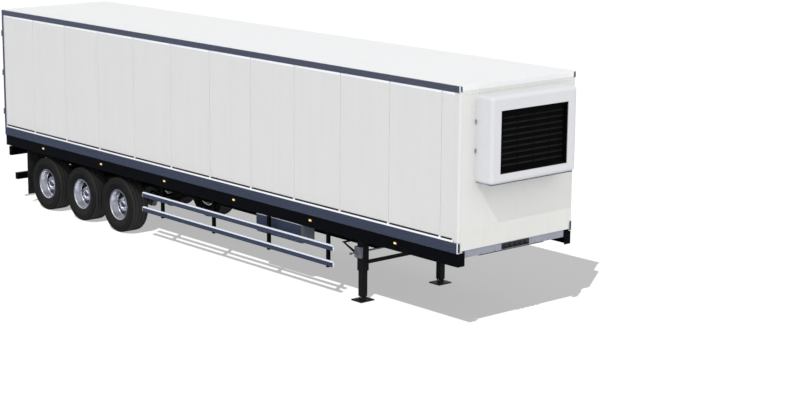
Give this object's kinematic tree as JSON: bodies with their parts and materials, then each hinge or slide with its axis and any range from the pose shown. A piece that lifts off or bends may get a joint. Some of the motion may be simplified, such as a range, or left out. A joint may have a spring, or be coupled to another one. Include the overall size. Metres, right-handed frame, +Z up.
{
  "type": "refrigerated semi-trailer",
  "caption": "Refrigerated box semi-trailer with swinging rear doors, cooling unit, side guards and free-turning wheels, parked on its landing legs.",
  "frame": {"origin": "on the ground at the middle of the overall length, on the plane of symmetry", "axes": "+X forward to the kingpin, +Y to the trailer's left, +Z up"},
  "size_m": [14.02, 2.6, 4],
  "materials": {
    "white_panel": "smooth white side and door panels",
    "white_roof": "smooth white roof skin",
    "floor_grey": "grooved load floor",
    "blue_grey_rail": "satin blue-grey extrusion",
    "light_grey_sill": "satin light blue-grey",
    "guard_aluminium": "satin blue-grey extrusion",
    "black_skirt": "satin black",
    "chassis_black": "matt black chassis paint",
    "bare_steel": "zinc-plated fittings",
    "tank_blue_grey": "satin blue-grey tank",
    "air_tank_paint": "satin dark grey",
    "white_unit": "white moulded housing",
    "grille_black": "matt black louvres",
    "coupling_parts": "black panel with couplings",
    "amber_lens": "amber lens",
    "red_lens": "red lens",
    "black_rubber": "matt black rubber",
    "tyre_black": "plain black tyre",
    "chrome_rim": "polished deep-dish rim"
  },
  "bodies": {
    "chassis": {"air_springs": "black_rubber", "air_tanks": "air_tank_paint", "axle_beams": "chassis_black", "brake_chambers": "air_tank_paint", "chassis_beams": "chassis_black", "cooling_unit": "white_unit", "coupling_plate": "chassis_black", "crank_gear": "bare_steel", "cross_members": "chassis_black", "dock_buffers": "black_rubber", "evaporator": "white_unit", "floor": "floor_grey", "front_corner_posts": "white_panel", "front_couplings": "coupling_parts", "front_sill": "light_grey_sill", "front_wall": "white_panel", "fuel_tank": "tank_blue_grey", "hanger_brackets": "chassis_black", "hinge_brackets": "bare_steel", "kingpin": "bare_steel", "landing_feet": "chassis_black", "landing_leg_tubes": "chassis_black", "lower_rails": "blue_grey_rail", "marker_lamps": "amber_lens", "mud_flaps": "black_rubber", "outriggers": "chassis_black", "rear_frame": "blue_grey_rail", "rear_lamp_beam": "black_skirt", "rear_lamps": "red_lens", "roof": "white_roof", "shock_absorbers": "chassis_black", "side_guard_posts": "black_skirt", "side_guard_rails": "guard_aluminium", "side_skirts": "black_skirt", "side_wall_left": "white_panel", "side_wall_right": "white_panel", "trailing_arms": "chassis_black", "under_run_bar": "black_skirt", "unit_grille": "grille_black", "upper_rails": "blue_grey_rail"},
    "door_right": {"rear_door_right": "white_panel", "lock_bars_right": "bare_steel", "hinge_straps_right": "bare_steel"},
    "wheel_right_1": {"tyre_right_1": "tyre_black", "wheel_right_1": "chrome_rim"},
    "wheel_right_2": {"tyre_right_2": "tyre_black", "wheel_right_2": "chrome_rim"},
    "wheel_right_3": {"tyre_right_3": "tyre_black", "wheel_right_3": "chrome_rim"},
    "door_left": {"rear_door_left": "white_panel", "lock_bars_left": "bare_steel", "hinge_straps_left": "bare_steel"},
    "wheel_left_1": {"tyre_left_1": "tyre_black", "wheel_left_1": "chrome_rim"},
    "wheel_left_2": {"tyre_left_2": "tyre_black", "wheel_left_2": "chrome_rim"},
    "wheel_left_3": {"tyre_left_3": "tyre_black", "wheel_left_3": "chrome_rim"}
  },
  "joints": [
    {"name": "wheel_right_1_spin", "type": "hinge", "parent": "chassis", "child": "wheel_right_1", "pos_m": [-5.432, -1.0775, 0.536], "axis": [0, 1, 0], "continuous": true},
    {"name": "wheel_right_2_spin", "type": "hinge", "parent": "chassis", "child": "wheel_right_2", "pos_m": [-4.13, -1.0775, 0.536], "axis": [0, 1, 0], "continuous": true},
    {"name": "wheel_right_3_spin", "type": "hinge", "parent": "chassis", "child": "wheel_right_3", "pos_m": [-2.828, -1.0775, 0.536], "axis": [0, 1, 0], "continuous": true},
    {"name": "wheel_left_1_spin", "type": "hinge", "parent": "chassis", "child": "wheel_left_1", "pos_m": [-5.432, 1.0775, 0.536], "axis": [0, 1, 0], "continuous": true},
    {"name": "wheel_left_2_spin", "type": "hinge", "parent": "chassis", "child": "wheel_left_2", "pos_m": [-4.13, 1.0775, 0.536], "axis": [0, 1, 0], "continuous": true},
    {"name": "wheel_left_3_spin", "type": "hinge", "parent": "chassis", "child": "wheel_left_3", "pos_m": [-2.828, 1.0775, 0.536], "axis": [0, 1, 0], "continuous": true},
    {"name": "door_right_hinge", "type": "hinge", "parent": "chassis", "child": "door_right", "pos_m": [-6.992, -1.28, 2.68], "axis": [0, 0, 1], "range_deg": [0, 270]},
    {"name": "door_left_hinge", "type": "hinge", "parent": "chassis", "child": "door_left", "pos_m": [-6.992, 1.28, 2.68], "axis": [0, 0, -1], "range_deg": [0, 270]}
  ]
}
